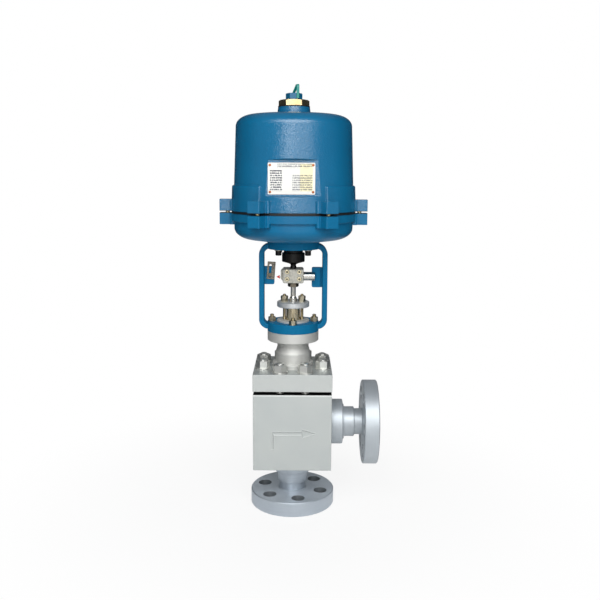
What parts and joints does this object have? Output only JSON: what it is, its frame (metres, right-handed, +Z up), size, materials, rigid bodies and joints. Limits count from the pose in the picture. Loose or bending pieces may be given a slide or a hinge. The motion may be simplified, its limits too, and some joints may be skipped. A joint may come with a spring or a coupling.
{
  "type": "electric angle control valve",
  "caption": "Flanged angle control valve with a linear electric actuator on a yoke, bolted bonnet, packed stem and travel scale.",
  "frame": {"origin": "centre of the inlet flange's lower face, on the valve's upright axis", "axes": "+Z up along the stem towards the actuator, +X towards the outlet port, -Y towards the nameplate"},
  "size_m": [0.3076, 0.2683, 0.8198],
  "materials": {
    "blue_paint": "blue semi-gloss enamel with a fine orange peel",
    "bonnet_paint": "silver-grey paint over turned steel",
    "gasket_grey": "graphite sheet",
    "bright_steel": "plain zinc plate",
    "brass": "turned brass",
    "gland_plastic": "black polyamide",
    "inner_steel": "ground steel",
    "clamp_steel": "milled steel",
    "yellow_zinc": "yellow zinc plate",
    "board_green": "circuit board",
    "gasket_black": "black rubber",
    "bronze": "bearing bronze",
    "stainless": "polished stainless steel",
    "flange_steel": "bare machined steel, bluish",
    "silver_paint": "light grey metallic paint, satin",
    "motor_paint": "dark grey enamel",
    "nameplate_metal": "brushed aluminium, blank",
    "copper": "copper rivet",
    "black_steel": "black oxide",
    "packing": "graphite packing",
    "ptfe": "white sealing ring",
    "red_paint": "red paint",
    "blue_plastic": "blue moulded plug",
    "teal_plastic": "teal moulded strap",
    "scale_plate": "satin anodised plate"
  },
  "bodies": {
    "valve": {"actuator_base": "blue_paint", "actuator_cover": "blue_paint", "bonnet": "bonnet_paint", "bonnet_gasket": "gasket_grey", "bonnet_neck": "bonnet_paint", "bonnet_nuts": "bright_steel", "bonnet_studs": "bright_steel", "bonnet_washers": "bright_steel", "brass_nut": "brass", "cable_gland_caps": "gland_plastic", "cable_glands": "gland_plastic", "cage": "inner_steel", "control_board": "board_green", "cover_gasket": "gasket_black", "cover_screws": "yellow_zinc", "gear_plate": "inner_steel", "gland_flange": "stainless", "gland_follower": "stainless", "gland_nuts": "bright_steel", "gland_studs": "bright_steel", "inlet_flange": "flange_steel", "inlet_neck": "silver_paint", "motor": "motor_paint", "nameplate": "nameplate_metal", "nameplate_rivets": "copper", "outlet_flange": "flange_steel", "outlet_neck": "silver_paint", "packing_base_ring": "inner_steel", "packing_rings": "packing", "plate_posts": "inner_steel", "port_plug": "blue_plastic", "port_washer": "gasket_black", "reduction_post": "inner_steel", "scale_screw": "yellow_zinc", "seal_strap": "teal_plastic", "seat_ring": "stainless", "shaft_bush": "bronze", "stem_bush": "bronze", "thrust_bearings": "inner_steel", "travel_scale": "scale_plate", "valve_body": "silver_paint", "yoke": "blue_paint", "yoke_nuts": "bright_steel", "yoke_studs": "bright_steel", "yoke_top_bolts": "black_steel", "yoke_washers": "bright_steel"},
    "stem": {"valve_stem": "stainless", "plug": "stainless", "plug_seal_ring": "ptfe", "stem_locknut": "bright_steel", "clamp_front": "clamp_steel", "clamp_rear": "clamp_steel", "clamp_screws": "yellow_zinc", "guide_rod": "stainless", "pointer": "red_paint", "output_shaft": "black_steel"},
    "drive_nut": {"drive_nut": "bronze", "hand_shaft": "inner_steel"},
    "reduction": {"reduction_gear": "inner_steel"},
    "motor_rotor": {"motor_pinion": "inner_steel"}
  },
  "joints": [
    {"name": "drive_nut_spin", "type": "hinge", "parent": "valve", "child": "drive_nut", "pos_m": [0, 0, 0.59], "axis": [0, 0, -1], "range_deg": [0, 1800]},
    {"name": "stem_travel", "type": "slide", "parent": "valve", "child": "stem", "axis": [0, 0, 1], "range_m": [0, 0.025]},
    {"name": "reduction_spin", "type": "hinge", "parent": "valve", "child": "reduction", "pos_m": [0.06, 0, 0.59], "axis": [0, 0, -1], "range_deg": [-5400, 0]},
    {"name": "motor_spin", "type": "hinge", "parent": "valve", "child": "motor_rotor", "pos_m": [0.04783, -0.03013, 0.6], "axis": [0, 0, -1], "range_deg": [0, 18000]}
  ],
  "couplings": [
    {"joint": "stem_travel", "follows": "drive_nut_spin", "m_per_rad": 0.00079577},
    {"joint": "reduction_spin", "follows": "drive_nut_spin", "ratio": -3},
    {"joint": "motor_spin", "follows": "drive_nut_spin", "ratio": 10}
  ]
}
